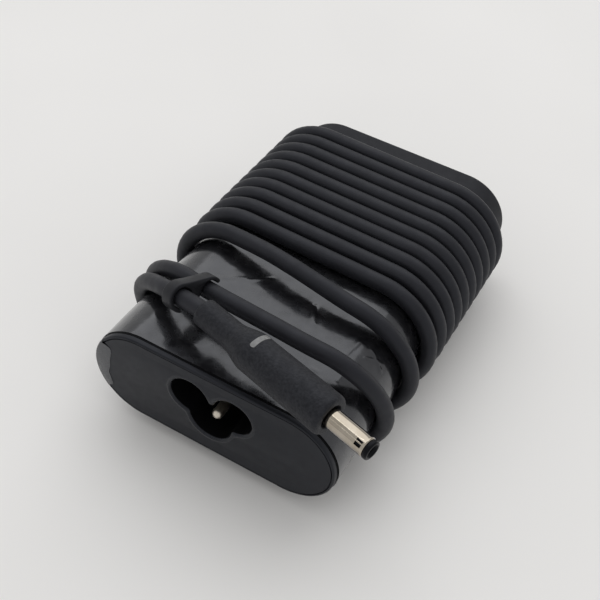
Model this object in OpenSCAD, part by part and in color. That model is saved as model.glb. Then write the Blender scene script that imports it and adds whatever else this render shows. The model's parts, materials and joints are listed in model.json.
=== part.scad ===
// Slim mains power adapter with its low-voltage lead wound round the casing.
// X runs across the casing, Y from the mains inlet to the back end, Z up.
// The origin is the middle of the casing.

/* [Casing] */
// Width of the casing across its round sides
case_w = 55; // [54:0.5:60]
// Height of the casing, which is also the diameter of its round sides
case_h = 22; // [21:0.5:25]
// Length of the casing from the inlet face to the back end
case_l = 87; // [85:0.5:100]
// Wall of the tubular sleeve
wall = 2; // [1.6:0.1:2.2]
// Thickness of the inlet cap's face plate
face_t = 3; // [2.5:0.1:4]
// Length of the inlet cap's edge outside the sleeve
rim_l = 1.2; // [0.8:0.1:2]
// Chamfer round the inlet face
face_chamfer = 0.3; // [0.2:0.1:0.5]
// Length of the back cap outside the sleeve
back_cap_l = 15; // [14:0.5:18]
// Rounding of the back end's edge
back_round = 1.2; // [1:0.1:2.5]
// Thickness of the back cap's end wall
back_wall = 2; // [1.5:0.1:3]
// Length of the spigots that locate the caps in the sleeve
spigot_l = 2; // [1.5:0.1:2.5]
// Wall of the spigots
spigot_t = 1.2; // [1:0.1:1.5]
// Radial gap between a spigot and the sleeve
spigot_gap = 0.1; // [0.05:0.01:0.2]

/* [Mains inlet] */
// Half the distance between the two upper lobes
ear_x = 4.9; // [4.6:0.1:5.2]
// Height of the upper lobes' centres
ear_z = 2.9; // [2.6:0.1:3.2]
// Radius of the upper lobes
ear_r = 4.3; // [4:0.1:4.5]
// Height of the lower lobe's centre
lobe_z = -1.5; // [-1.8:0.1:-1.2]
// Radius of the lower lobe
lobe_r = 4.75; // [4.4:0.05:5]
// Depth of the recess behind the face
recess_depth = 13; // [11:0.5:15]
// Wall of the moulded shroud round the recess
shroud_t = 1.2; // [0.9:0.1:1.4]
// Thickness of the insulating base that carries the pins
pin_base_t = 3; // [2:0.1:4]
// Radius of a contact pin
pin_r = 1.2; // [1:0.05:1.3]
// Step from a pin's front down to its root in the base
pin_step = 0.2; // [0.1:0.05:0.3]
// Distance from the face back to the earth pin's tip
pin_recess = 2.4; // [2:0.1:4]
// How much further back the line and neutral pins' tips are
pin_lag = 3; // [2:0.1:4]
// Height of the earth pin
earth_z = -2.1; // [-2.4:0.1:-2]
// Radial gap of a pin in its base
pin_gap = 0.02; // [0.01:0.01:0.05]
// Length of a pin behind its base
pin_tail = 2.5; // [2:0.1:3]
// Width of the square leg from a pin down to the board
leg_t = 0.9; // [0.6:0.1:1.2]

/* [Cord] */
// Diameter of the cord
cord_d = 3.6; // [3.4:0.05:3.6]
// Gap between the cord and the casing
cord_gap = 0.1; // [0.05:0.01:0.3]
// Distance from one close turn to the next
turn_pitch = 4.02; // [4.02:0.02:4.3]
// Distance between the last close turns, which are looser
slack_pitch = 4.4; // [4.1:0.05:4.6]
// Distance from the back end to the first turn on top
first_turn = 10.1; // [10:0.1:12]
// How far the cord leaves the casing inside the underside's line
exit_lift = 3; // [2.5:0.1:3.2]
// Depth of the flat that the turns stand on, as a share of the cord's diameter
flat_share = 0.1; // [0.05:0.01:0.15]

/* [Strain relief] */
// Radius of the strain relief at its root
relief_r = 2.4; // [2.2:0.05:2.5]
// Radius of the strain relief where the cord leaves it
relief_tip_r = 2.1; // [1.9:0.05:2.2]
// Length of the strain relief's sleeve
relief_l = 8; // [6:0.5:10]
// Side gap of the strain relief in its channel
relief_gap = 0.2; // [0.1:0.05:0.4]
// Radius of the strain relief's inner flange
relief_flange_r = 3.4; // [3:0.1:4]
// Thickness of the strain relief's inner flange
relief_flange_t = 1; // [0.8:0.1:1.5]
// Wall of the boss round the channel
boss_t = 1; // [0.8:0.1:1.5]
// Height of the boss round the channel, above the cap's floor
boss_h = 3.5; // [3.2:0.1:4.5]

/* [Plug] */
// Radius of the plug's grip
grip_r = 4; // [3.4:0.1:4.2]
// Length of the grip, behind the barrel
grip_l = 20; // [18:0.5:24]
// Radius of the plug's neck
neck_r = 2.8; // [2.4:0.1:3]
// Length of the neck
neck_l = 8.5; // [7:0.5:12]
// Length of the flare between neck and grip
flare_l = 4.5; // [3:0.5:6]
// Radius of the barrel
barrel_r = 1.95; // [1.9:0.05:2.25]
// Length of the barrel outside the grip
barrel_l = 9.6; // [8:0.1:11]
// Wall of the barrel
barrel_t = 0.5; // [0.4:0.05:0.55]
// Radius of the hole for the socket's centre pin
bore_r = 0.85; // [0.7:0.05:0.95]
// Wall of the inner contact
contact_t = 0.3; // [0.2:0.05:0.35]
// Thickness of the inner contact's closed end
contact_floor = 1; // [0.5:0.1:1.5]
// Length of the insulating ring at the tip
tip_ring_l = 1; // [0.6:0.1:1.5]
// Step from the barrel down to its root in the grip
barrel_step = 0.25; // [0.2:0.05:0.3]
// Depth of the barrel's and the contact's roots in the grip
barrel_root = 6; // [4:0.5:8]
// Width of the light window along the grip
window_w = 1.2; // [0.8:0.1:2]
// Thickness of the light window
window_t = 0.8; // [0.6:0.1:1]
// Angle that the light window covers
window_angle = 70; // [50:5:110]
// Turn of the light window's middle, up from the front side
window_turn = 101; // [90:1:110]
// Gap between the plug and the casing's top, over which the springy cord holds it
plug_gap = 4.3; // [4:0.1:4.6]

/* [Cord clip] */
// Gap between the clip and the cord inside it
clip_gap = 0.3; // [0.2:0.05:0.4]
// Thickness of the clip's band
clip_t = 0.9; // [0.8:0.1:1.2]
// Width of the band along the cord
clip_w = 3; // [2.6:0.1:4]
// Distance between the free end and the held turn, where the clip joins them
clip_span = 6.45; // [6.35:0.05:6.55]
// Tilt of the arm down towards the held turn
clip_tilt = 13; // [12:0.5:13.5]
// Length of the arm's curled end, past the held turn's middle
hook_l = 1.1; // [0.8:0.1:1.3]

/* [Circuit board] */
// Thickness of the board
board_t = 1.6; // [1:0.1:1.8]
// Gap between the board's long edges and the sleeve
board_gap = 0.75; // [0.5:0.05:1]
// Distance from the board's front edge to the legs of the inlet pins
board_lip = 0.1; // [0.1:0.1:0.5]
// Gap between the board's back edge and the back cap's spigot
board_end_gap = 0.5; // [0.3:0.1:1]
// Height of the ribs that carry the board, above the sleeve's floor
rib_h = 1.7; // [1.5:0.1:2]
// Width of a rib
rib_w = 1.6; // [1.2:0.1:2]
// Distance from the board's edge in to a rib's middle
rib_in = 2; // [1.5:0.1:2.5]
// Thickness of the insulating sheet under the board
sheet_t = 0.3; // [0.2:0.1:0.6]
// Thickness of the heat spreader's metal
spreader_t = 0.6; // [0.4:0.1:0.8]
// Distance from the board's long edges in to the heat spreader's sides
spreader_in = 3; // [2.5:0.1:3]
// Distance from the board's ends in to the heat spreader's ends
spreader_end = 4; // [3:0.5:6]
// Gap between the heat spreader and the sleeve's roof
spreader_gap = 0.5; // [0.3:0.1:0.8]

/* [Board parts] */
// Gap between neighbouring parts on the board
part_gap = 0.6; // [0.4:0.05:0.6]
// Radius of the fuse
fuse_r = 3.2; // [2.8:0.1:3.4]
// Height of the fuse
fuse_h = 7.5; // [6:0.5:9]
// Radius of the thermistor disc
thermistor_r = 3.4; // [3:0.1:3.6]
// Thickness of the thermistor disc
thermistor_t = 3.2; // [3:0.1:4]
// Radius of the safety capacitor disc
safety_cap_r = 3.2; // [2.5:0.1:3.4]
// Thickness of the safety capacitor disc
safety_cap_t = 2.8; // [2:0.1:3]
// Length of the leads under the discs
disc_lead = 1.2; // [0.8:0.1:2]
// Radius of a component lead
lead_r = 0.35; // [0.25:0.05:0.4]
// Outer radius of the choke's ring
choke_r = 5.6; // [5:0.1:5.8]
// Inner radius of the choke's ring
choke_hole_r = 3; // [2.5:0.1:3.2]
// Height of the choke's ring
choke_h = 5; // [4:0.5:6]
// Thickness of the choke's wire bundles
choke_wire_t = 0.9; // [0.6:0.1:1]
// Distance from the choke's middle to a wire bundle's edge
choke_split = 1.6; // [1:0.1:2]
// Gap between the tallest board parts and the heat spreader
headroom = 1.6; // [1:0.1:2]
// Thickness of a heat sink
sink_t = 1.2; // [0.8:0.1:1.5]
// How much lower the heat sinks are than the tallest board parts
sink_drop = 1; // [0.5:0.1:1.4]
// Length of the transistor's heat sink
switch_sink_l = 14; // [12:0.5:14.5]
// Length of the output rectifier's heat sink
output_sink_l = 11; // [10:0.5:13]
// Thickness of the transformer core's outer legs and yokes, as a share of its width
core_leg_share = 0.16; // [0.14:0.01:0.18]
// Radius of the transformer core's middle leg, as a share of the winding's radius
core_mid_share = 0.41; // [0.36:0.01:0.45]
// Width of the bulk capacitor, as a share of the room that it and the transformer have
bulk_share = 0.45; // [0.4:0.01:0.48]
// Gap round the transformer's winding
coil_gap = 0.2; // [0.1:0.05:0.3]
// Radius of an output capacitor
output_cap_r = 4; // [3.5:0.1:4.1]
// Height of an output capacitor
output_cap_h = 11; // [9:0.5:12]
// Radius of an output wire
wire_r = 0.7; // [0.5:0.05:0.8]
// Distance between the two output wires
wire_gap = 2.4; // [2:0.1:3]
// Distance from the board's back edge in to the output wires
wire_in = 1.5; // [1:0.1:2]
// Height of the output wires' bend above the strain relief
wire_rise = 1; // [0.5:0.1:2]

/* [Hidden] */
$fn = 64;
tiny = 0.01;
// How far a cut runs past the faces that it opens
cut = 1;

// Casing, derived
half_l = case_l / 2;
end_r = case_h / 2;
flat_half = (case_w - case_h) / 2;
in_r = end_r - wall;
face_y = -half_l;
sleeve_y0 = face_y + rim_l;
plate_y = face_y + face_t;
sleeve_y1 = half_l - back_cap_l;
spigot_r = in_r - spigot_gap;

// Inlet, derived
recess_y = face_y + recess_depth;
earth_tip_y = face_y + pin_recess;
line_tip_y = earth_tip_y + pin_lag;
pin_end_y = recess_y + pin_base_t + pin_tail;
pin_root_r = pin_r - pin_step;
pin_places = [[-ear_x, ear_z], [ear_x, ear_z], [0, earth_z]];

// Cord path, derived. Lengths along the path start at the strain relief, under the casing's middle.
cord_r = cord_d / 2;
run_r = end_r + cord_gap + cord_r;
arc_l = PI * run_r;
loop_l = 4 * flat_half + 2 * arc_l;
floor_z = -run_r - cord_r + flat_share * cord_d;
tight_turns = 8;
slack_turns = 2;
close_turns = tight_turns + slack_turns;
loops = close_turns + 2;
first_turn_y = half_l - first_turn;
exit_y = first_turn_y + turn_pitch / 2;
last_tight_y = first_turn_y - turn_pitch * (tight_turns - 1);
last_close_y = last_tight_y - slack_pitch * slack_turns;
exit_straight = cord_d;
exit_run = flat_half - 1.3 * exit_straight;

// Where each stretch of the cord lies along the casing: [loops from the strain relief, y]
close_keys = [
    [-1, exit_y], [0.05, exit_y], [0.5, first_turn_y], [tight_turns - 0.5, last_tight_y],
    [close_turns - 0.4, last_close_y - 0.1 * slack_pitch]
];
tail_y = -26;
loose_keys = [
    [9.75, -5.2], [10.25, -9.2], [10.33, -9.3], [10.4, -9.9], [10.46, -11.7], [10.54, -14], [10.62, -15],
    [10.68, -15.1], [10.75, -13.6], [10.9, -15], [11.12, -18], [11.25, -19.9], [11.33, -24.4],
    [11.4, -27.8], [11.46, -29.6], [11.54, -30.4], [11.62, -31.1], [11.68, -28.9], [11.75, -24.8],
    [11.86, -25], [12, tail_y], [13, tail_y]
];
turn_keys = concat(close_keys, loose_keys);
key_blur = 0.025;

// How high the two loose turns bow up from the casing: [loops from the strain relief, height]
free_bow = 3;
held_bow = 4.7;
lift_keys = [
    [-1, 0], [10.28, 0], [10.39, 0.3 * free_bow], [10.45, 0.87 * free_bow], [10.5, free_bow],
    [10.56, 0.83 * free_bow], [10.62, 0.43 * free_bow], [10.72, 0], [11.25, 0], [11.3, 0.08 * held_bow],
    [11.345, 0.24 * held_bow], [11.39, 0.57 * held_bow], [11.44, 0.87 * held_bow], [11.5, 0.95 * held_bow],
    [11.56, held_bow], [11.62, 0.87 * held_bow], [11.7, 0.34 * held_bow], [11.77, 0], [13, 0]
];

// Route of the free end, from the winding's end under the casing to the plug above it
under_z = -run_r;
plug_z = end_r + plug_gap + grip_r;
tail_route = [
    [0, tail_y, under_z], [-6, tail_y, under_z], [-12, tail_y, under_z], [-17, tail_y, under_z],
    [-23, -25.6, -11.4], [-27.7, -24.1, -6.9], [-29.4, -24.4, -0.6], [-28.54, -25.98, 4.82],
    [-26.32, -27.68, 8.98], [-23.19, -29.65, 12.48], [-17.67, -32.55, 16.13], [-13.55, -34.16, 17.85],
    [-10.2, -35.15, 18.78], [-6.7, -36.05, plug_z]
];
clip_point = 11;
clip_at = tail_route[clip_point];
clip_dir = tail_route[clip_point + 1] - tail_route[clip_point - 1];
clip_yaw = atan2(clip_dir[1], clip_dir[0]);
clip_rise = asin(clip_dir[2] / norm(clip_dir));
tail_steps = 2;
winding_sides = 6;
tail_sides = 8;
arc_rings = 9;
flat_rings = 3;

// Plug, derived. It lies on the casing's top, near the inlet face, and starts where the free end stops.
plug_turn = -15;
plug_start = tail_route[len(tail_route) - 1];
grip_start = neck_l + flare_l;
grip_end = grip_start + grip_l;
root_start = grip_end - barrel_root;
barrel_root_r = barrel_r - barrel_step;
liner_r = barrel_r - barrel_t;
contact_r = bore_r + contact_t;
window_step = 0.85;
window_at = grip_start + window_step;
led = [1, 1.6, 0.8];
led_out = sqrt(pow(grip_r - window_t, 2) - pow(led[1] / 2, 2));

// Board, derived
board_z = -in_r + rib_h;
deck = board_z + board_t;
board_half = flat_half + sqrt(in_r * in_r - board_z * board_z) - board_gap;
board_y0 = pin_end_y - leg_t - board_lip;
board_y1 = sleeve_y1 - spigot_l - board_end_gap;
board_l = board_y1 - board_y0;
spreader_half = board_half - spreader_in;
spreader_y0 = board_y0 + spreader_end;
spreader_l = board_l - 2 * spreader_end;
spreader_top = in_r - spreader_gap;
roof_z = spreader_top - spreader_t;

// Strain relief, derived
boss_top = -in_r + boss_h;
relief_z = -run_r + exit_lift;
channel_half = relief_r + relief_gap;
channel_top = relief_z + channel_half;
channel_x0 = -flat_half + boss_t;
boss_half = channel_half + boss_t;
flange_top = boss_top + relief_flange_t;

// Room for the board parts, under the heat spreader and between its sides
side_x = spreader_half - spreader_t - part_gap;
tall_h = roof_z - deck - headroom;
sink_h = tall_h - sink_drop;

// Bodies of standard board parts: width, depth and height
filter_cap = [14, 6, sink_h];
bridge = [10, 3.4, 8];
power_body = [10, 4.2, 9.5];
coupler = [4.6, 6.4, 3.5];
chip = [3.9, 4.9, 1.6];

// Places of the board parts, in rows from the inlet pins to the back and from both sides inwards
row_y = pin_end_y + part_gap;
fuse_at = [-side_x + fuse_r, row_y + fuse_r];
thermistor_at = [fuse_at[0] + fuse_r + part_gap + thermistor_r, row_y + thermistor_t / 2];
safety_at = [thermistor_at[0] + thermistor_r + part_gap + safety_cap_r, row_y + safety_cap_t / 2];
choke_out = choke_r + choke_wire_t;
choke_all_h = choke_h + 2 * choke_wire_t;
choke_at = [side_x - choke_out, safety_at[1] + safety_cap_t / 2 + part_gap + choke_out];
filter_at = [-side_x + filter_cap[0] / 2, fuse_at[1] + fuse_r + part_gap + filter_cap[1] / 2];
output_cap_y = board_y1 - part_gap - output_cap_r;
output_cap_step = 2 * output_cap_r + part_gap;
core_y1 = output_cap_y - output_cap_r - part_gap;
bulk_y0 = filter_at[1] + filter_cap[1] / 2 + part_gap;
bulk_r = min(tall_h, bulk_share * (core_y1 - bulk_y0)) / 2;
bulk_l = 2 * (side_x - choke_out) - part_gap;
bulk_at = [-side_x, bulk_y0 + bulk_r];
bridge_at = [side_x - bridge[0] / 2, choke_at[1] + choke_out + part_gap + bridge[1] / 2];
chip_at = [bridge_at[0], bridge_at[1] + bridge[1] / 2 + part_gap + chip[1] / 2];
switch_at = [side_x - switch_sink_l / 2, chip_at[1] + chip[1] / 2 + part_gap + power_body[1] / 2];
switch_sink_y = switch_at[1] + (power_body[1] + sink_t) / 2;
output_y = switch_sink_y + sink_t / 2 + part_gap;
output_sink_at = [side_x - sink_t / 2, output_y + output_sink_l / 2];
rectifier_at = [output_sink_at[0] - (sink_t + power_body[1]) / 2, output_sink_at[1]];
core_y0 = bulk_at[1] + bulk_r + part_gap;
core = [2 * side_x - switch_sink_l - part_gap, core_y1 - core_y0, tall_h];
core_at = [-side_x + core[0] / 2, (core_y0 + core_y1) / 2];
core_t = core_leg_share * core[0];
coil_r = min(core[0] / 2 - core_t, core[1] / 2) - coil_gap;
core_leg_r = core_mid_share * coil_r;
coupler_at = [core_at[0] + (core[0] + coupler[0]) / 2 + part_gap, output_y + coupler[1] / 2];
wire_y = board_y1 - wire_in;

// General shapes

// A solid of the section drawn in X and Z, from y0 to y1
module slab(y0, y1) {
    translate([0, y1, 0]) rotate([90, 0, 0]) linear_extrude(y1 - y0) children();
}

// The casing's section, with round sides of radius r
module pill_section(r) {
    square([2 * flat_half, 2 * r], center = true);
    for (side = [-1, 1]) translate([side * flat_half, 0]) circle(r);
}

// A casing shape turned from half a profile of [radius, y] points
module pill_turned(profile) {
    mirrored = [for (p = profile) [-p[0], p[1]]];
    for (side = [-1, 1]) translate([side * flat_half, 0, 0]) rotate([-90, 0, 0])
        rotate_extrude() polygon(profile);
    rotate([90, 0, 90]) translate([0, 0, -flat_half]) linear_extrude(2 * flat_half)
        for (half = [profile, mirrored]) polygon([for (p = half) [p[1], p[0]]]);
}

// The three-lobed section of the mains inlet, grown by the given amount
module inlet_section(grow) {
    for (side = [-1, 1]) translate([side * ear_x, ear_z]) circle(ear_r + grow);
    translate([0, lobe_z]) circle(lobe_r + grow);
}

// Places children on the free end where the clip sits, with +Z along it and +Y up
module on_clip() {
    translate(clip_at) rotate([0, -clip_rise, clip_yaw]) rotate([90, 0, 90]) children();
}

// Places children on the plug's axis, with +Z along it and +Y up
module on_plug(along) {
    translate(plug_start) rotate([0, 0, plug_turn]) rotate([90, 0, 90]) translate([0, 0, along]) children();
}

// A block that stands on the board
module on_deck(place, size) {
    translate([place[0] - size[0] / 2, place[1] - size[1] / 2, deck]) cube(size);
}

// A round disc on edge on two leads, facing along Y
module leaded_disc(place, r, t) {
    translate([place[0], place[1] + t / 2, deck + disc_lead + r]) rotate([90, 0, 0]) cylinder(h = t, r = r);
    for (side = [-1, 1]) translate([place[0] + side * r / 2, place[1], deck])
        cylinder(h = disc_lead + r, r = lead_r);
}

// Cord path and tubes

function sum_of(list) = list * [for (v = list) 1];
function mean_of(list) = sum_of(list) / len(list);
function ease(t) = let (u = min(max(t, 0), 1)) u * u * (3 - 2 * u);

// X and Z of the wound cord, at a length s along it
function loop_xz(s) =
    let (q = s - loop_l * floor(s / loop_l))
    q < flat_half ? [-q, -run_r] :
    q < flat_half + arc_l ? let (a = (q - flat_half) / run_r * 180 / PI)
        [-flat_half - run_r * sin(a), -run_r * cos(a)] :
    q < 3 * flat_half + arc_l ? [q - 2 * flat_half - arc_l, run_r] :
    q < 3 * flat_half + 2 * arc_l ? let (a = (q - 3 * flat_half - arc_l) / run_r * 180 / PI)
        [flat_half + run_r * sin(a), run_r * cos(a)] :
    [loop_l - q, -run_r];

// A value from keys along the wound cord, eased over their corners
function keyed(s, keys) = mean_of([for (k = [-2:2]) lookup(s / loop_l + k * key_blur, keys)]);

// The cord starts raised, in the strain relief, and sinks to the casing's underside
function start_lift(s) = exit_lift * (1 - ease((s - exit_straight) / exit_run));

function wound_point(s) = let (p = loop_xz(s))
    [p[0], keyed(s, turn_keys), p[1] + start_lift(s) + keyed(s, lift_keys)];

// Lengths along the cord where the winding has a ring of points
first_run = [for (k = [0:5]) k == 0 ? 0 : exit_straight + (flat_half - exit_straight) * (k - 1) / 5];
arc_at = [for (k = [0:arc_rings]) arc_l * k / arc_rings];
flat_at = [for (k = [1:flat_rings - 1]) 2 * flat_half * k / flat_rings];
loop_rings = concat(
    [for (a = arc_at) flat_half + a], [for (f = flat_at) flat_half + arc_l + f],
    [for (a = arc_at) 3 * flat_half + arc_l + a]
);
under_rings = [for (f = flat_at) 3 * flat_half + 2 * arc_l + f];
last_run = [flat_half / 2, flat_half - cord_d, flat_half];
ring_at = concat(
    first_run,
    [for (k = [0:loops - 1]) for (q = concat(loop_rings, k < loops - 1 ? under_rings : [])) k * loop_l + q],
    [for (q = last_run) loops * loop_l - flat_half + q]
);
winding_points = [for (s = ring_at) wound_point(s)];

// A smooth curve through hand-placed points
function curve_point(a, b, c, d, t) =
    0.5 * (2 * b + (c - a) * t + (2 * a - 5 * b + 4 * c - d) * t * t + (3 * b - a - 3 * c + d) * t * t * t);
function curve(route, steps) = let (last = len(route) - 1) concat(
    [for (i = [0:last - 1]) for (k = [0:steps - 1])
        curve_point(route[max(i - 1, 0)], route[i], route[i + 1], route[min(i + 2, last)], k / steps)],
    [route[last]]
);
tail_points = curve(tail_route, tail_steps);

function unit(v) = v / norm(v);
function path_dir(points, i) = unit(points[min(i + 1, len(points) - 1)] - points[max(i - 1, 0)]);

// One ring of points round the path, flat on its inner and outer sides, and never below the floor
function ring(points, i, dir, sides) =
    let (out = unit(cross(dir, [0, 1, 0])), side = cross(out, dir))
    [for (k = [0:sides - 1]) let (a = 360 * (k + 0.5) / sides,
        p = points[i] + cord_r * (cos(a) * out + sin(a) * side)) [p[0], p[1], max(p[2], floor_z)]];

// A closed tube of triangles along the path
module tube(points, sides, first_dir, last_dir) {
    last = len(points) - 1;
    rings = [for (i = [0:last])
        ring(points, i, i == 0 ? first_dir : i == last ? last_dir : path_dir(points, i), sides)];
    skin = [for (i = [0:last - 1]) for (k = [0:sides - 1])
        let (a = i * sides + k, b = i * sides + (k + 1) % sides)
        for (f = [[a, b, a + sides], [b, b + sides, a + sides]]) f];
    caps = [for (k = [1:sides - 2])
        for (f = [[0, k + 1, k], [last * sides, last * sides + k, last * sides + k + 1]]) f];
    polyhedron([for (r = rings) for (p = r) p], concat(skin, caps));
}

// Least gap between turns of the winding, measured on its points
half_loop = arc_rings + flat_rings;
least_gap = min([for (i = [0:len(winding_points) - 1]) for (j = [i + half_loop:1:len(winding_points) - 1])
    norm(winding_points[i] - winding_points[j])]) - cord_d;
function path_length(points) = sum_of([for (i = [1:len(points) - 1]) norm(points[i] - points[i - 1])]);
echo(least_gap_of_winding = least_gap);
echo(winding_length = path_length(winding_points), tail_length = path_length(tail_points));

// Casing

module casing_sleeve() {
    color([0.05, 0.05, 0.055]) {
        difference() {
            slab(sleeve_y0, sleeve_y1) pill_section(end_r);
            slab(sleeve_y0 - cut, sleeve_y1 + cut) pill_section(in_r);
        }
        for (side = [-1, 1]) intersection() {
            translate([side * (board_half - rib_in) - rib_w / 2, board_y0, -end_r + wall / 2])
                cube([rib_w, board_l, wall / 2 + rib_h]);
            slab(board_y0 - cut, board_y1 + cut) pill_section(end_r - wall / 4);
        }
    }
}

module front_cap() {
    color([0.19, 0.195, 0.205]) difference() {
        union() {
            pill_turned([
                [0, face_y], [end_r - face_chamfer, face_y], [end_r, face_y + face_chamfer],
                [end_r, sleeve_y0], [0, sleeve_y0]
            ]);
            difference() {
                slab(sleeve_y0 - tiny, plate_y + spigot_l) pill_section(spigot_r);
                slab(plate_y, plate_y + spigot_l + cut) pill_section(spigot_r - spigot_t);
            }
            slab(sleeve_y0 - tiny, recess_y) inlet_section(shroud_t);
        }
        slab(face_y - cut, recess_y + cut) inlet_section(0);
    }
}

back_corner = [for (a = [0:15:90])
    [end_r - back_round * (1 - cos(a)), half_l - back_round * (1 - sin(a))]];
module rear_cap() {
    color([0.1, 0.1, 0.105]) difference() {
        union() {
            difference() {
                union() {
                    pill_turned(concat([[0, sleeve_y1], [end_r, sleeve_y1]], back_corner, [[0, half_l]]));
                    slab(sleeve_y1 - spigot_l, sleeve_y1 + tiny) pill_section(spigot_r);
                }
                slab(sleeve_y1 - spigot_l - cut, half_l - back_wall) pill_section(spigot_r - spigot_t);
            }
            // Boss over the cord's channel
            translate([-flat_half, exit_y - boss_half, -end_r + wall / 2])
                cube([flat_half + relief_l + 2 * channel_half, 2 * boss_half, boss_h + wall / 2]);
        }
        // Channel in the underside, open downwards
        translate([channel_x0, exit_y - channel_half, -end_r - cut])
            cube([relief_l + channel_half - channel_x0, 2 * channel_half, channel_top + end_r + cut]);
        // Hole for the strain relief's upright
        translate([relief_l, exit_y, channel_top - cut])
            cylinder(h = boss_top - channel_top + 2 * cut, r = relief_tip_r + relief_gap);
    }
}

// Mains inlet

module inlet_base() {
    color([0.08, 0.08, 0.085]) difference() {
        slab(recess_y, recess_y + pin_base_t) inlet_section(shroud_t);
        for (p = pin_places) translate([p[0], 0, p[1]])
            slab(recess_y - cut, recess_y + pin_base_t + cut) circle(pin_root_r + pin_gap);
    }
}

// A round pin with a domed tip and a thinner root, and a square leg down to the board
module inlet_pin(place, tip_y) {
    color([0.78, 0.72, 0.55]) translate([place[0], 0, place[1]]) {
        slab(tip_y + pin_r, recess_y) circle(pin_r);
        slab(recess_y - tiny, pin_end_y) circle(pin_root_r);
        translate([0, tip_y + pin_r, 0]) sphere(pin_r);
        translate([-leg_t / 2, pin_end_y - leg_t, deck - place[1]]) cube([leg_t, leg_t, place[1] - deck]);
    }
}
module inlet_pin_line() inlet_pin(pin_places[0], line_tip_y);
module inlet_pin_neutral() inlet_pin(pin_places[1], line_tip_y);
module inlet_pin_earth() inlet_pin(pin_places[2], earth_tip_y);

// Circuit board and the parts on it

module circuit_board() {
    color([0.08, 0.3, 0.16]) translate([-board_half, board_y0, board_z])
        cube([2 * board_half, board_l, board_t]);
}

module insulating_sheet() {
    color([0.85, 0.82, 0.7]) translate([-flat_half, board_y0, -in_r])
        cube([2 * flat_half, board_l, sheet_t]);
}

// A folded sheet that stands on the board and roofs its parts over
module heat_spreader() {
    color([0.75, 0.76, 0.78]) difference() {
        translate([-spreader_half, spreader_y0, deck])
            cube([2 * spreader_half, spreader_l, spreader_top - deck]);
        translate([-spreader_half + spreader_t, spreader_y0 - cut, deck - cut])
            cube([2 * (spreader_half - spreader_t), spreader_l + 2 * cut, roof_z - deck + cut]);
    }
}

module fuse() {
    color([0.12, 0.12, 0.12]) translate([fuse_at[0], fuse_at[1], deck]) cylinder(h = fuse_h, r = fuse_r);
}

module thermistor() {
    color([0.1, 0.28, 0.2]) leaded_disc(thermistor_at, thermistor_r, thermistor_t);
}

module safety_capacitor() {
    color([0.15, 0.35, 0.7]) leaded_disc(safety_at, safety_cap_r, safety_cap_t);
}

module filter_capacitor() {
    color([0.85, 0.65, 0.1]) on_deck(filter_at, filter_cap);
}

module choke_core() {
    color([0.22, 0.22, 0.24]) translate([choke_at[0], choke_at[1], deck + choke_wire_t]) difference() {
        cylinder(h = choke_h, r = choke_r);
        translate([0, 0, -cut]) cylinder(h = choke_h + 2 * cut, r = choke_hole_r);
    }
}

// Two bundles of wire wound round opposite sides of the choke's ring
module choke_windings() {
    color([0.72, 0.4, 0.18]) translate([choke_at[0], choke_at[1], deck])
        for (turn = [0, 180]) rotate([0, 0, turn]) intersection() {
            difference() {
                cylinder(h = choke_all_h, r = choke_out);
                translate([0, 0, -cut])
                    cylinder(h = choke_all_h + 2 * cut, r = choke_hole_r - choke_wire_t);
                translate([0, 0, choke_wire_t]) difference() {
                    cylinder(h = choke_h, r = choke_r);
                    cylinder(h = choke_h, r = choke_hole_r);
                }
            }
            translate([choke_split, -choke_r, 0]) cube([2 * choke_r, 2 * choke_r, choke_all_h]);
        }
}

module bridge_rectifier() {
    color([0.1, 0.1, 0.11]) on_deck(bridge_at, bridge);
}

module bulk_capacitor() {
    color([0.12, 0.14, 0.2]) translate([bulk_at[0], bulk_at[1], deck + bulk_r]) rotate([0, 90, 0])
        cylinder(h = bulk_l, r = bulk_r);
}

module switch_transistor() {
    color([0.1, 0.1, 0.11]) on_deck(switch_at, power_body);
}

module switch_heatsink() {
    color([0.7, 0.71, 0.73]) on_deck([switch_at[0], switch_sink_y], [switch_sink_l, sink_t, sink_h]);
}

// A closed ferrite frame with a round middle leg that stands upright
module transformer_core() {
    color([0.2, 0.2, 0.21]) translate([core_at[0], core_at[1], deck]) {
        difference() {
            translate([-core[0] / 2, -core[1] / 2, 0]) cube(core);
            translate([-core[0] / 2 + core_t, -core[1] / 2 - cut, core_t])
                cube([core[0] - 2 * core_t, core[1] + 2 * cut, core[2] - 2 * core_t]);
        }
        cylinder(h = core[2], r = core_leg_r);
    }
}

module transformer_winding() {
    color([0.86, 0.72, 0.2]) translate([core_at[0], core_at[1], deck + core_t]) difference() {
        cylinder(h = core[2] - 2 * core_t, r = coil_r);
        translate([0, 0, -cut]) cylinder(h = core[2], r = core_leg_r + coil_gap);
    }
}

module output_rectifier() {
    color([0.1, 0.1, 0.11]) on_deck(rectifier_at, [power_body[1], power_body[0], power_body[2]]);
}

module output_heatsink() {
    color([0.7, 0.71, 0.73]) on_deck(output_sink_at, [sink_t, output_sink_l, sink_h]);
}

module output_capacitors() {
    color([0.15, 0.2, 0.35]) for (k = [0, 1])
        translate([-side_x + output_cap_r + k * output_cap_step, output_cap_y, deck])
            cylinder(h = output_cap_h, r = output_cap_r);
}

module optocoupler() {
    color([0.9, 0.9, 0.88]) on_deck(coupler_at, coupler);
}

module control_chip() {
    color([0.09, 0.09, 0.1]) on_deck(chip_at, chip);
}

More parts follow.
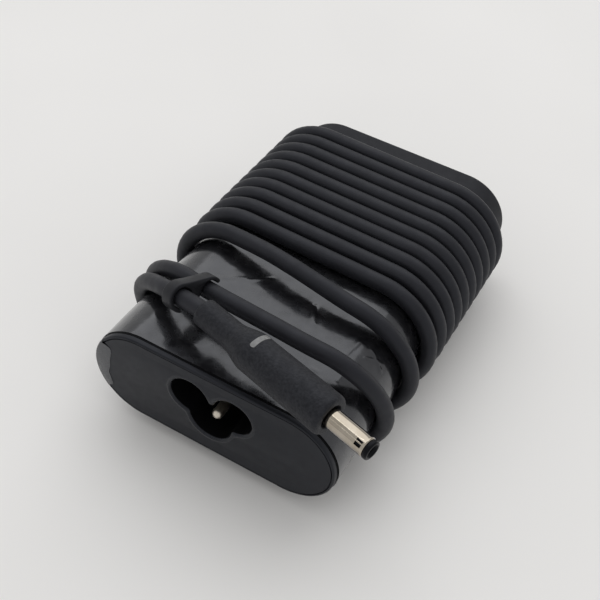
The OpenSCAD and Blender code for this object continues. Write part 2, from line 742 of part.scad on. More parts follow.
// Two wires that arch from the board's back edge to the strain relief
module output_wires() {
    bend_r = (exit_y - wire_y) / 2;
    bend_z = flange_top + wire_rise;
    color([0.6, 0.12, 0.1]) for (side = [-1, 1])
        translate([relief_l + side * wire_gap / 2, wire_y + bend_r, bend_z]) {
            rotate([90, 0, 90]) rotate_extrude(angle = 180) translate([bend_r, 0]) circle(wire_r);
            translate([0, -bend_r, deck - bend_z]) cylinder(h = bend_z - deck, r = wire_r);
            translate([0, bend_r, flange_top - bend_z]) cylinder(h = bend_z - flange_top, r = wire_r);
        }
}

// Cord and what is on it

// A right-angled moulding: an upright through the cap's boss, and a tapered sleeve along the channel
module strain_relief() {
    color([0.07, 0.07, 0.075]) {
        translate([0, exit_y, relief_z]) rotate([0, 90, 0])
            cylinder(h = relief_l, r1 = relief_tip_r, r2 = relief_r);
        translate([relief_l, exit_y, relief_z]) sphere(relief_r);
        translate([relief_l, exit_y, relief_z]) cylinder(h = boss_top - relief_z, r = relief_tip_r);
        translate([relief_l, exit_y, boss_top]) cylinder(h = relief_flange_t, r = relief_flange_r);
    }
}

module cord_winding() {
    color([0.075, 0.075, 0.08]) tube(winding_points, winding_sides, [-1, 0, 0], [-1, 0, 0]);
}

module cord_tail() {
    color([0.075, 0.075, 0.08])
        tube(tail_points, tail_sides, [-1, 0, 0], [cos(plug_turn), sin(plug_turn), 0]);
}

// A ring round the free end, and an arm whose curled end lies over the held turn
module cord_clip() {
    bore_r = cord_r + clip_gap;
    outer_r = bore_r + clip_t;
    color([0.085, 0.085, 0.09]) on_clip() rotate([0, 0, -clip_tilt])
        translate([0, 0, -clip_w / 2]) difference() {
        union() {
            cylinder(h = clip_w, r = outer_r);
            translate([0, bore_r, 0]) cube([clip_span, clip_t, clip_w]);
            intersection() {
                translate([clip_span, 0, 0]) cylinder(h = clip_w, r = outer_r);
                translate([clip_span - hook_l, 0, 0]) cube([2 * hook_l, outer_r, clip_w]);
            }
        }
        for (x = [0, clip_span]) translate([x, 0, -cut]) cylinder(h = clip_w + 2 * cut, r = bore_r);
    }
}

// The light window, a curved bar in the grip's surface
module window_shape() {
    rotate([0, 0, 180 - window_turn - window_angle / 2]) rotate_extrude(angle = window_angle)
        translate([grip_r - window_t, 0]) square([window_t, window_w]);
}

// The lamp, close under the window's middle
module led_shape() {
    rotate([0, 0, 180 - window_turn]) translate([led_out - led[0], -led[1] / 2, 0]) cube(led);
}

module plug_grip() {
    color([0.1, 0.1, 0.105]) on_plug(0) difference() {
        union() {
            cylinder(h = neck_l, r = neck_r);
            translate([0, 0, neck_l]) cylinder(h = flare_l, r1 = neck_r, r2 = grip_r);
            translate([0, 0, grip_start]) cylinder(h = grip_l, r = grip_r);
        }
        translate([0, 0, root_start]) cylinder(h = barrel_root + cut, r = barrel_root_r);
        translate([0, 0, window_at]) window_shape();
        translate([0, 0, window_at]) led_shape();
    }
}

module plug_window() {
    color([0.8, 0.82, 0.84]) on_plug(window_at) window_shape();
}

module plug_led() {
    color([0.95, 0.95, 0.85]) on_plug(window_at) led_shape();
}

module plug_barrel() {
    color([0.8, 0.77, 0.7]) on_plug(root_start) difference() {
        union() {
            cylinder(h = barrel_root + tiny, r = barrel_root_r);
            translate([0, 0, barrel_root]) cylinder(h = barrel_l - tip_ring_l, r = barrel_r);
        }
        translate([0, 0, -cut]) cylinder(h = barrel_root + barrel_l + 2 * cut, r = liner_r);
    }
}

// The insulating liner, with a ring that closes the barrel's tip
module plug_insulator() {
    color([0.06, 0.06, 0.065]) on_plug(root_start) difference() {
        union() {
            cylinder(h = barrel_root + barrel_l, r = liner_r);
            translate([0, 0, barrel_root + barrel_l - tip_ring_l]) cylinder(h = tip_ring_l, r = barrel_r);
        }
        translate([0, 0, -cut]) cylinder(h = barrel_root + barrel_l + 2 * cut, r = contact_r);
    }
}

module plug_contact() {
    color([0.78, 0.72, 0.55]) on_plug(root_start) difference() {
        cylinder(h = barrel_root + barrel_l - tip_ring_l, r = contact_r);
        translate([0, 0, contact_floor]) cylinder(h = barrel_root + barrel_l, r = bore_r);
    }
}

casing_sleeve();
front_cap();
rear_cap();
inlet_base();
inlet_pin_line();
inlet_pin_neutral();
inlet_pin_earth();
circuit_board();
insulating_sheet();
heat_spreader();
fuse();
thermistor();
filter_capacitor();
choke_core();
choke_windings();
bridge_rectifier();
bulk_capacitor();
switch_transistor();
switch_heatsink();
transformer_core();
transformer_winding();
output_rectifier();
output_heatsink();
output_capacitors();
optocoupler();
safety_capacitor();
control_chip();
output_wires();
strain_relief();
cord_winding();
cord_tail();
cord_clip();
plug_grip();
plug_window();
plug_led();
plug_barrel();
plug_insulator();
plug_contact();
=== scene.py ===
"""Dresses the laptop power adapter: camera, light, cord, casing, plug and clip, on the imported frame."""
import json
import math

import bpy
import bmesh
from mathutils import Matrix, Vector, noise
from mathutils.geometry import tessellate_polygon
from mathutils.kdtree import KDTree


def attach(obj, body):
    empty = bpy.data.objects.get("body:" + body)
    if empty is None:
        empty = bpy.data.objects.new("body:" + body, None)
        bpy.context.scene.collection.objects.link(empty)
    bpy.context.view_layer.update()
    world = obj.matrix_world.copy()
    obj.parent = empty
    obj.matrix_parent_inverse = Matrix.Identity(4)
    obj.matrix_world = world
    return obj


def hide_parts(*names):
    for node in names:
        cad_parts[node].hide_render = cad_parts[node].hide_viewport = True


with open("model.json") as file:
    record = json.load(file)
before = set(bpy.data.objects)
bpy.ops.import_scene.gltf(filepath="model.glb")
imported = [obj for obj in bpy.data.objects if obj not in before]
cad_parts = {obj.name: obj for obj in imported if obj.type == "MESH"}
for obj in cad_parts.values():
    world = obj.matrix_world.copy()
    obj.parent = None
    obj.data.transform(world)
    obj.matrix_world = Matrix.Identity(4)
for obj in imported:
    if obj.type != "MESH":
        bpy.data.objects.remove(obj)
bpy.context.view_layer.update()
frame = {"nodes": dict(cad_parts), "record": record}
nodes = frame["nodes"]
scene = bpy.context.scene
scene.view_settings.view_transform = "Standard"

MM = 0.001

# Sizes of the part, in millimetres, with the casing's middle at the origin
FACE_Y = -43.5
SLEEVE_Y0 = -42.3
SLEEVE_Y1 = 28.5
END_R = 11.0
FLAT_HALF = 16.5
EAR_X = 4.9
EAR_Z = 2.9
CORD_D = 3.6
CORD_R = CORD_D / 2

# Path of the cord's middle round the casing
RUN_R = 12.9
ARC_L = math.pi * RUN_R
LOOP_L = 4 * FLAT_HALF + 2 * ARC_L
LOOPS = 12
POINTS_PER_TURN = 96
FIRST_TURN_Y = 33.4
TURN_PITCH = 4.02
SLACK_PITCH = 4.4
TIGHT_TURNS = 8
EXIT_Y = FIRST_TURN_Y + TURN_PITCH / 2
LAST_TIGHT_Y = FIRST_TURN_Y - TURN_PITCH * (TIGHT_TURNS - 1)
LAST_CLOSE_Y = LAST_TIGHT_Y - 2 * SLACK_PITCH
TAIL_Y = -26.0
# Height of the cord's start, the length that it stays there, and the length over which it comes down
EXIT_LIFT = 3.0
EXIT_STRAIGHT = 3.6
EXIT_RUN = FLAT_HALF - 1.3 * CORD_D
FLOOR_Z = -(RUN_R + CORD_R)

# Turns along the winding and the Y that the cord has there
TURN_KEYS = [
    (-1, EXIT_Y), (0.05, EXIT_Y), (0.5, FIRST_TURN_Y), (TIGHT_TURNS - 0.5, LAST_TIGHT_Y),
    (9.6, LAST_CLOSE_Y - 0.1 * SLACK_PITCH), (9.75, -5.2), (10.25, -9.2), (10.33, -9.3), (10.4, -9.9),
    (10.46, -11.7), (10.54, -14), (10.62, -15), (10.68, -15.1), (10.75, -13.6), (10.9, -15), (11.12, -18),
    (11.25, -19.9), (11.33, -24.4), (11.4, -27.8), (11.46, -29.6), (11.54, -30.4), (11.62, -31.1),
    (11.68, -28.9), (11.75, -24.8), (11.86, -25), (12, TAIL_Y), (13, TAIL_Y),
]
# Turns along the winding and the height that the cord bows up there
FREE_BOW = 3.0
HELD_BOW = 4.7
LIFT_KEYS = [
    (-1, 0), (10.28, 0), (10.39, 0.3 * FREE_BOW), (10.45, 0.87 * FREE_BOW), (10.5, FREE_BOW),
    (10.56, 0.83 * FREE_BOW), (10.62, 0.43 * FREE_BOW), (10.72, 0), (11.25, 0), (11.3, 0.08 * HELD_BOW),
    (11.345, 0.24 * HELD_BOW), (11.39, 0.57 * HELD_BOW), (11.44, 0.87 * HELD_BOW), (11.5, 0.95 * HELD_BOW),
    (11.56, HELD_BOW), (11.62, 0.87 * HELD_BOW), (11.7, 0.34 * HELD_BOW), (11.77, 0), (13, 0),
]
# Steps, in turns, and their number to each side, over which the keys are averaged
KEY_BLUR = 0.025
BLUR_STEPS = 2
# Points of the cord's free end, up to the plug
TAIL_ROUTE = [
    (0, TAIL_Y, -RUN_R), (-6, TAIL_Y, -RUN_R), (-12, TAIL_Y, -RUN_R), (-17, TAIL_Y, -RUN_R),
    (-23, -25.6, -11.4), (-27.7, -24.1, -6.9), (-29.4, -24.4, -0.6), (-28.54, -25.98, 4.82),
    (-26.32, -27.68, 8.98), (-23.19, -29.65, 12.48), (-17.67, -32.55, 16.13), (-13.55, -34.16, 17.85),
    (-10.2, -35.15, 18.78), (-6.7, -36.05, 19.3),
]
TAIL_STEPS = 6

PLUG_START = Vector(TAIL_ROUTE[-1])
PLUG_TURN = math.radians(-15)
PLUG_DIR = Vector((math.cos(PLUG_TURN), math.sin(PLUG_TURN), 0))
PLUG_SIDE = Vector((-math.sin(PLUG_TURN), math.cos(PLUG_TURN), 0))
PLUG_UP = Vector((0, 0, 1))


# Materials, with all patterns in millimetres

SHEEN = (0.85, 0.89, 1.0)
# Values of the noise between which a colour or a roughness changes
TINT_FROM = 0.35
TINT_TO = 0.65
GLOSS_FROM = 0.3
GLOSS_TO = 0.7


def material(name, color, roughness, metallic=0.0, specular=0.5, coat=0.0, coat_rough=0.05):
    mat = bpy.data.materials.new(name)
    mat.use_nodes = True
    bsdf = mat.node_tree.nodes["Principled BSDF"]
    bsdf.inputs["Base Color"].default_value = (*color, 1)
    bsdf.inputs["Roughness"].default_value = roughness
    bsdf.inputs["Metallic"].default_value = metallic
    bsdf.inputs["Specular IOR Level"].default_value = specular
    bsdf.inputs["Specular Tint"].default_value = (*SHEEN, 1)
    bsdf.inputs["Coat Weight"].default_value = coat
    bsdf.inputs["Coat Roughness"].default_value = coat_rough
    return mat


def texture_noise(mat, per_mm, detail):
    tree = mat.node_tree
    coord = tree.nodes.new("ShaderNodeTexCoord")
    mapping = tree.nodes.new("ShaderNodeMapping")
    mapping.inputs["Scale"].default_value = [per_mm / MM] * 3
    tex = tree.nodes.new("ShaderNodeTexNoise")
    tex.inputs["Scale"].default_value = 1.0
    tex.inputs["Detail"].default_value = detail
    tree.links.new(coord.outputs["Object"], mapping.inputs["Vector"])
    tree.links.new(mapping.outputs["Vector"], tex.inputs["Vector"])
    return tex


def tint(mat, low, high, per_mm, detail=3.0):
    """Colour wanders between low and high."""
    tree = mat.node_tree
    tex = texture_noise(mat, per_mm, detail)
    ramp = tree.nodes.new("ShaderNodeValToRGB")
    ramp.color_ramp.elements[0].position = TINT_FROM
    ramp.color_ramp.elements[0].color = (*low, 1)
    ramp.color_ramp.elements[1].position = TINT_TO
    ramp.color_ramp.elements[1].color = (*high, 1)
    tree.links.new(tex.outputs["Fac"], ramp.inputs["Fac"])
    tree.links.new(ramp.outputs["Color"], tree.nodes["Principled BSDF"].inputs["Base Color"])


def gloss(mat, low, high, per_mm, detail=3.0):
    """Roughness wanders between low and high."""
    tree = mat.node_tree
    tex = texture_noise(mat, per_mm, detail)
    span = tree.nodes.new("ShaderNodeMapRange")
    span.inputs["From Min"].default_value = GLOSS_FROM
    span.inputs["From Max"].default_value = GLOSS_TO
    span.inputs["To Min"].default_value = low
    span.inputs["To Max"].default_value = high
    tree.links.new(tex.outputs["Fac"], span.inputs["Value"])
    tree.links.new(span.outputs["Result"], tree.nodes["Principled BSDF"].inputs["Roughness"])


def grain(mat, per_mm, depth, strength=1.0, detail=2.0, coat=False):
    """Fine relief, on the coat too if asked."""
    tree = mat.node_tree
    tex = texture_noise(mat, per_mm, detail)
    bump = tree.nodes.new("ShaderNodeBump")
    bump.inputs["Strength"].default_value = strength
    bump.inputs["Distance"].default_value = depth * MM
    tree.links.new(tex.outputs["Fac"], bump.inputs["Height"])
    bsdf = tree.nodes["Principled BSDF"]
    tree.links.new(bump.outputs["Normal"], bsdf.inputs["Normal"])
    if coat:
        tree.links.new(bump.outputs["Normal"], bsdf.inputs["Coat Normal"])


def shade(color, factor):
    return tuple(c * factor for c in color)


def varied(name, color, rough, per_mm, depth, tone, tone_per_mm, rough_per_mm, **extra):
    """A plain material with grain, and small changes of tone and gloss."""
    low, high = rough
    mat = material(name, color, (low + high) / 2, **extra)
    tint(mat, shade(color, tone[0]), shade(color, tone[1]), tone_per_mm)
    gloss(mat, low, high, rough_per_mm)
    grain(mat, per_mm, depth)
    return mat


# How the tone and gloss change on the pieces that show, and on the CAD nodes that stay
SEEN_LOOK = {"tone": (0.88, 1.12), "tone_per_mm": 0.25, "rough_per_mm": 0.6}
NODE_LOOK = {"tone": (0.85, 1.1), "tone_per_mm": 0.5, "rough_per_mm": 0.8}


def moulded(name, color, rough, per_mm, depth, **extra):
    return varied(name, color, rough, per_mm, depth, **SEEN_LOOK, **extra)


cord_mat = moulded(
    "cord_jacket", (0.0135, 0.0137, 0.0168), rough=(0.46, 0.56), per_mm=5.0, depth=0.010, specular=0.3)
clip_mat = moulded(
    "clip_moulding", (0.009, 0.009, 0.0104), rough=(0.42, 0.52), per_mm=3.0, depth=0.012, specular=0.3)
face_mat = moulded(
    "front_face", (0.0075, 0.0082, 0.0108), rough=(0.40, 0.48), per_mm=4.0, depth=0.010, specular=0.29)
rear_mat = moulded(
    "rear_cap_satin", (0.0125, 0.0127, 0.0152), rough=(0.50, 0.58), per_mm=4.0, depth=0.008, specular=0.2)
# Near-black painted shade: stands for the shade in the inlet's recess (walls and floor) and in the groove at
# the seam band
painted_shade_mat = moulded(
    "inlet_painted_shade", (0.0018, 0.0018, 0.002), rough=(0.5, 0.6), per_mm=3.0, depth=0.010, specular=0.1)
lip_mat = moulded(
    "inlet_lip", (0.0085, 0.0092, 0.0116), rough=(0.24, 0.32), per_mm=4.0, depth=0.004, specular=0.34)
# Pale grey of the film's folded edge: partly the film's haze, partly a painted reflection of the bright
# floor
flap_mat = moulded(
    "film_flap_haze_and_painted_reflection", (0.050, 0.051, 0.053), rough=(0.22, 0.36), per_mm=1.6, depth=0.020)
pin_mat = moulded(
    "pin_plate", (0.62, 0.57, 0.49), rough=(0.32, 0.42), per_mm=2.0, depth=0.004, metallic=1.0)
tip_mat = moulded(
    "tip_ring", (0.0025, 0.0025, 0.003), rough=(0.26, 0.34), per_mm=3.0, depth=0.006, specular=0.14)

plug_mat = material("plug_overmould", (0.0092, 0.0094, 0.0116), roughness=0.56, specular=0.32)
tint(plug_mat, low=(0.0045, 0.0046, 0.006), high=(0.0155, 0.0158, 0.0185), per_mm=1.7, detail=5.0)
gloss(plug_mat, low=0.50, high=0.62, per_mm=0.6)
grain(plug_mat, per_mm=2.4, depth=0.11)

film_mat = material("film_gloss", (0.009, 0.009, 0.0105), roughness=0.1, coat=0.55, coat_rough=0.12)
tint(film_mat, low=(0.0055, 0.0055, 0.0065), high=(0.014, 0.014, 0.0155), per_mm=0.6, detail=6.0)
gloss(film_mat, low=0.12, high=0.34, per_mm=0.35, detail=6.0)
grain(film_mat, per_mm=0.8, depth=0.024, strength=0.55, detail=5.0, coat=True)

nickel_mat = material("nickel_plate", (0.42, 0.375, 0.31), roughness=0.13, metallic=1.0)
tint(nickel_mat, low=(0.39, 0.345, 0.28), high=(0.45, 0.405, 0.34), per_mm=0.5)
gloss(nickel_mat, low=0.06, high=0.12, per_mm=1.5)
grain(nickel_mat, per_mm=1.2, depth=0.004, strength=0.6)

window_mat = material("window_diffuser", (0.20, 0.20, 0.195), roughness=0.35)
tint(window_mat, low=(0.17, 0.17, 0.166), high=(0.23, 0.23, 0.225), per_mm=1.5)
grain(window_mat, per_mm=4.0, depth=0.006)


# Shapes

class Shape:
    """Rings of points, in millimetres, and the faces between them."""

    def __init__(self):
        self.points = []
        self.faces = []
        self.paints = []
        self.paint = 0

    def face(self, corners):
        self.faces.append(tuple(corners))
        self.paints.append(self.paint)

    def ring(self, points):
        start = len(self.points)
        self.points += [Vector(p) for p in points]
        return list(range(start, len(self.points)))

    def skin(self, a, b):
        n = len(a)
        for i in range(n):
            j = (i + 1) % n
            self.face((a[i], a[j], b[j], b[i]))

    def skin_all(self, rings, loop=False):
        for a, b in zip(rings, rings[1:]):
            self.skin(a, b)
        if loop:
            self.skin(rings[-1], rings[0])

    def fill(self, *loops):
        """Flat face bounded by the first loop, with the others as holes."""
        order = [i for loop in loops for i in loop]
        outlines = [[self.points[i] for i in loop] for loop in loops]
        for tri in tessellate_polygon(outlines):
            self.face(order[i] for i in tri)

    def build(self, name, mats, slot, body="adapter", replaces=(), sharp=40):
        """Makes the piece; faces take the material that their paint counts to."""
        mesh = bpy.data.meshes.new(name)
        mesh.from_pydata([p * MM for p in self.points], [], self.faces)
        bm = bmesh.new()
        bm.from_mesh(mesh)
        bmesh.ops.recalc_face_normals(bm, faces=bm.faces)
        bm.to_mesh(mesh)
        bm.free()
        for poly, paint in zip(mesh.polygons, self.paints):
            poly.use_smooth = True
            poly.material_index = paint
        mesh.set_sharp_from_angle(angle=math.radians(sharp))
        for mat in mats:
            mesh.materials.append(mat)
        obj = bpy.data.objects.new(name, mesh)
        scene.collection.objects.link(obj)
        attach(obj, body)
        if replaces:
            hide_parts(*replaces)
        return obj


def smoothstep(t):
    u = min(max(t, 0.0), 1.0)
    return u * u * (3 - 2 * u)


def lerp(a, b, t):
    return a + (b - a) * t


# Cord

def lookup(x, keys):
    """Value at x on the straight lines between the keys."""
    for (x0, y0), (x1, y1) in zip(keys, keys[1:]):
        if x <= x1:
            return lerp(y0, y1, (x - x0) / (x1 - x0))
    return keys[-1][1]


def keyed(s, keys):
    """Value of the keys at length s of the winding, averaged to round their corners."""
    steps = range(-BLUR_STEPS, BLUR_STEPS + 1)
    return sum(lookup(s / LOOP_L + k * KEY_BLUR, keys) for k in steps) / len(steps)


def wound_point(s):
    """Point of the winding at length s, from the middle of the casing's underside."""
    q = s % LOOP_L
    if q < FLAT_HALF:
        x, z = -q, -RUN_R
    elif q < FLAT_HALF + ARC_L:
        a = (q - FLAT_HALF) / RUN_R
        x, z = -FLAT_HALF - RUN_R * math.sin(a), -RUN_R * math.cos(a)
    elif q < 3 * FLAT_HALF + ARC_L:
        x, z = q - 2 * FLAT_HALF - ARC_L, RUN_R
    elif q < 3 * FLAT_HALF + 2 * ARC_L:
        a = (q - 3 * FLAT_HALF - ARC_L) / RUN_R
        x, z = FLAT_HALF + RUN_R * math.sin(a), RUN_R * math.cos(a)
    else:
        x, z = LOOP_L - q, -RUN_R
    z += EXIT_LIFT * (1 - smoothstep((s - EXIT_STRAIGHT) / EXIT_RUN)) + keyed(s, LIFT_KEYS)
    return Vector((x, keyed(s, TURN_KEYS), z))


def curve_through(route, steps):
    """Smooth line through the route's points, with so many steps between each two."""
    pts = [Vector(p) for p in route]
    last = len(pts) - 1
    out = []
    for i in range(last):
        a, b, c, d = pts[max(i - 1, 0)], pts[i], pts[i + 1], pts[min(i + 2, last)]
        for k in range(steps):
            t = k / steps
            out.append(0.5 * (2 * b + (c - a) * t + (2 * a - 5 * b + 4 * c - d) * t * t
                              + (3 * b - a - 3 * c + d) * t ** 3))
    return out + [pts[-1]]


CORD_ROUNDING = 6
turn_step = LOOP_L / POINTS_PER_TURN
cord_points = [wound_point(i * turn_step) for i in range(LOOPS * POINTS_PER_TURN)]
cord_points += curve_through(TAIL_ROUTE, TAIL_STEPS)

cord_curve = bpy.data.curves.new("cord", "CURVE")
cord_curve.dimensions = "3D"
cord_curve.bevel_depth = CORD_R * MM
cord_curve.bevel_resolution = CORD_ROUNDING
cord_curve.use_fill_caps = True
line = cord_curve.splines.new("POLY")
line.points.add(len(cord_points) - 1)
for point, place in zip(line.points, cord_points):
    point.co = (*(place * MM), 1)
line.use_smooth = True
cord_curve.materials.append(cord_mat)
cord = bpy.data.objects.new("cord", cord_curve)
scene.collection.objects.link(cord)
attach(cord, "adapter")
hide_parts("cord_winding", "cord_tail")

cord_tree = KDTree(len(cord_points))
for index, place in enumerate(cord_points):
    cord_tree.insert(place, index)
cord_tree.balance()


# Casing

ARC_SIDES = 40
FLAT_SIDES = 24


def pill(inset, y, arc_sides=ARC_SIDES, flat_sides=FLAT_SIDES):
    """The casing's outline at y, inset from its side walls."""
    r = END_R - inset
    out = []
    for side in (1, -1):
        for i in range(arc_sides):
            a = math.pi / 2 - math.pi * i / arc_sides
            out.append((side * (FLAT_HALF + r * math.cos(a)), y, side * r * math.sin(a)))
        for i in range(flat_sides):
            out.append((side * FLAT_HALF * (1 - 2 * i / flat_sides), y, -side * r))
    return out


# Inlet's lobes as middle (x, z) and radius
LOBES = [((-EAR_X, EAR_Z), 4.3), ((EAR_X, EAR_Z), 4.3), ((0.0, -1.5), 4.75)]
INLET_MIDDLE = (0.0, 0.9)
INLET_SIDES = 144
INLET_BLEND = 0.35
INLET_REACH = 14.0
INLET_HALVINGS = 40


def inlet_distance(x, z):
    """Signed distance to the inlet's outline, with softened corners between the lobes."""
    d = [math.hypot(x - c[0], z - c[1]) - r for c, r in LOBES]
    return -INLET_BLEND * math.log(sum(math.exp(-v / INLET_BLEND) for v in d))


def inlet(grow, y):
    """The inlet's outline at y, grown outwards."""
    out = []
    for i in range(INLET_SIDES):
        a = 2 * math.pi * i / INLET_SIDES
        c, s = math.cos(a), math.sin(a)
        near, far = 0.0, INLET_REACH
        for _ in range(INLET_HALVINGS):
            mid = (near + far) / 2
            if inlet_distance(INLET_MIDDLE[0] + mid * c, INLET_MIDDLE[1] + mid * s) < grow:
                near = mid
            else:
                far = mid
        out.append((INLET_MIDDLE[0] + near * c, y, INLET_MIDDLE[1] + near * s))
    return out


# Front cap: edge band, front edge and groove, as (inset, distance behind the face)
RIM = [
    (0.22, 1.20), (0.08, 1.17), (0.00, 1.08), (0.00, 0.34), (0.03, 0.22), (0.10, 0.11), (0.20, 0.04),
    (0.30, 0.00), (0.46, 0.00), (0.55, 0.26), (0.62, 0.26), (0.72, 0.00), (0.95, 0.00),
]
# Inlet's bead and recess, as (growth of the outline, distance behind the face)
LIP = [(0.95, 0.0), (0.75, -0.05), (0.55, -0.09), (0.36, -0.06), (0.16, 0.08), (0.03, 0.32)]
RECESS = [(0.0, 0.55), (0.0, 13.0)]
SHROUD_T = 1.2
RECESS_PAINT = 1
LIP_PAINT = 2
cap = Shape()
rim_rings = [cap.ring(pill(inset, FACE_Y + y)) for inset, y in RIM]
lip_rings = [cap.ring(inlet(grow, FACE_Y + y)) for grow, y in LIP]
recess_rings = [cap.ring(inlet(grow, FACE_Y + y)) for grow, y in RECESS]
shroud_back = cap.ring(inlet(SHROUD_T, FACE_Y + RECESS[-1][1]))
shroud_front = cap.ring(inlet(SHROUD_T, SLEEVE_Y0))
cap.skin_all(rim_rings)
cap.fill(rim_rings[-1], lip_rings[0])
cap.paint = LIP_PAINT
cap.skin_all(lip_rings)
# The recess walls and the hidden back take the painted shade
cap.paint = RECESS_PAINT
cap.skin_all([lip_rings[-1], *recess_rings, shroud_back, shroud_front])
cap.fill(rim_rings[0], shroud_front)
cap.build("front_cap_shell", [face_mat, painted_shade_mat, lip_mat], "grey_matte", replaces=["front_cap"])


# Near-black band between the front cap and the film: painted shade of the groove at the seam
SEAM_W = 0.45
SEAM_TOP = -0.03
SEAM_FOOT = -0.005
seam = Shape()
seam_section = [(SEAM_TOP, 0.0), (SEAM_TOP, SEAM_W), (SEAM_FOOT, SEAM_W), (SEAM_FOOT, 0.0)]
seam.skin_all([seam.ring(pill(inset, SLEEVE_Y0 + y)) for inset, y in seam_section], loop=True)
seam.build("casing_seam_painted_shade", [painted_shade_mat], "gloss_black")


# Film round the sleeve: lies flat under the cord, wavy and creased where it is free
FILM_LAP = 0.1
FILM_Y0 = SLEEVE_Y0 + SEAM_W - FILM_LAP
FILM_STEP = 0.32
FILM_ROWS = 104
COVERED_STEP = 2.0
COVERED_ROWS = 18
FILM_Y = [FILM_Y0 + FILM_STEP * i for i in range(FILM_ROWS)]
FILM_Y += [FILM_Y[-1] + COVERED_STEP * (i + 1) for i in range(COVERED_ROWS)] + [SLEEVE_Y1]
FILM_ARC = 96
FILM_FLAT = 104
FILM_UNDERSIDE = -0.01
# Height of the film where the cord holds it, and what is added where it is free
HELD_HEIGHT = 0.06
FREE_HEIGHT = 0.10
# Distance from the cord's middle at which the film comes free, and the way it takes
FREE_FROM = 2.1
FREE_OVER = 3.0
# Waves as height, length along each axis, and shift of the noise
FILM_WAVES = [
    (0.11, (8, 11, 8), (0, 0, 3.1)),
    (0.028, (2.9, 4.3, 2.9), (9, 0, 0)),
    (0.008, (1.1, 1.5, 1.1), (0, 5, 0)),
]
# Creases as two ends (x, y) on the casing's upper side, height and half width
CREASES = [
    ((-12.9, -19.65), (-9.0, -17.0), 0.07, 0.30), ((-8.0, -17.0), (-4.25, -13.7), 0.09, 0.32),
    ((7.0, -15.7), (9.15, -20.2), 0.20, 0.42), ((18.05, -23.9), (18.8, -18.9), 0.13, 0.32),
    ((21.6, -18.8), (24.6, -20.7), 0.13, 0.34), ((21.4, -21.5), (23.9, -19.4), 0.12, 0.32),
    ((19.6, -30.0), (19.8, -28.3), 0.11, 0.30), ((14.3, -30.4), (15.8, -30.6), 0.11, 0.28),
]
# Distance, in half widths, beyond which a crease adds nothing
CREASE_REACH = 3


def on_casing(x, y):
    """Point of the casing's upper side over (x, y)."""
    beyond = max(abs(x) - FLAT_HALF, 0.0)
    return Vector((x, y, math.sqrt(max(END_R ** 2 - beyond ** 2, 0.0))))


crease_lines = [(on_casing(*a), on_casing(*b), height, half) for a, b, height, half in CREASES]


def crease_lift(p):
    """Height that the creases add at casing point p."""
    total = 0.0
    for a, b, height, half in crease_lines:
        run = b - a
        along = min(max((p - a).dot(run) / run.length_squared, 0.0), 1.0)
        off = (p - a - run * along).length / half
        if off < CREASE_REACH:
            total += height * math.exp(-off * off)
    return total


def film_lift(p):
    """Height of the film over the sleeve, at casing point p."""
    _, _, dist = cord_tree.find(p)
    free = smoothstep((dist - FREE_FROM) / FREE_OVER)
    wave = 0.0
    for height, length, shift in FILM_WAVES:
        wave += height * noise.noise(Vector([p[i] / length[i] + shift[i] for i in range(3)]))
    return HELD_HEIGHT + free * (FREE_HEIGHT + wave + crease_lift(p))


film = Shape()
film_rings = []
for y in FILM_Y:
    base = pill(0, y, FILM_ARC, FILM_FLAT)
    inner = pill(1, y, FILM_ARC, FILM_FLAT)
    ring = []
    for a, b in zip(base, inner):
        p = Vector(a)
        ring.append(p + (p - Vector(b)) * film_lift(p))
    film_rings.append(film.ring(ring))
under_back = film.ring(pill(FILM_UNDERSIDE, SLEEVE_Y1, FILM_ARC, FILM_FLAT))
under_front = film.ring(pill(FILM_UNDERSIDE, FILM_Y[0], FILM_ARC, FILM_FLAT))
film.skin_all(film_rings + [under_back, under_front], loop=True)
film.build("film_wrap", [film_mat], "gloss_black", sharp=60)


# Flap of film folded round the face's left edge, as (x, z) of its inner edge
FLAP_EDGE = [
    (-25.3, 5.6), (-24.3, 5.4), (-23.6, 5.0), (-23.4, 3.9), (-23.8, 1.45), (-23.9, -0.5), (-24.3, -2.3),
    (-23.9, -4.0), (-23.5, -5.7), (-24.3, -6.6),
]
FLAP_STEPS = 10
FLAP_T = 0.03
# Gaps to the face and to the casing's side
FLAP_AHEAD = 0.03
FLAP_ASIDE = 0.02
# Insets from the casing's side at which the flap ends at the latest, and begins to bend
FLAP_LEAST = 0.1
FLAP_BEND = 0.25
# Run round the edge, as (way out from the casing's side, distance behind the face)
FLAP_FOLD = [(-0.08, 0.06), (0.0, 0.3), (0.0, 1.0), (0.06, 2.4)]


def flap_row(x, z, over):
    """Section of the flap at one height, over the face and round the edge, raised by over."""
    length = math.hypot(x + FLAT_HALF, z)
    ux, uz = (x + FLAT_HALF) / length, z / length
    front = -FLAP_AHEAD - over
    edge = END_R + FLAP_ASIDE + over
    out = [(min(length, END_R - FLAP_LEAST), front), (END_R - FLAP_BEND, front)]
    out += [(edge + way, y) for way, y in FLAP_FOLD]
    return [(-FLAT_HALF + ux * r, FACE_Y + y, uz * r) for r, y in out]


flap = Shape()
flap_rings = []
for x, _, z in curve_through([(x, 0, z) for x, z in FLAP_EDGE], FLAP_STEPS):
    flap_rings.append(flap.ring(flap_row(x, z, FLAP_T) + list(reversed(flap_row(x, z, 0.0)))))
flap.skin_all(flap_rings)
flap.face(flap_rings[0])
flap.face(reversed(flap_rings[-1]))
flap.build("film_flap", [flap_mat], "gloss_black", sharp=50)


# Plug, with its places given along its axis from the cord's end

PLUG_SIDES = 144


def plug_point(s, r, a):
    """Point at s along the plug's axis, r from it, turned by a."""
    return PLUG_START + PLUG_DIR * s + (PLUG_SIDE * math.cos(a) + PLUG_UP * math.sin(a)) * r


def plug_arc(s, r, steps):
    return [plug_point(s, r, 2 * math.pi * i / PLUG_SIDES) for i in steps]


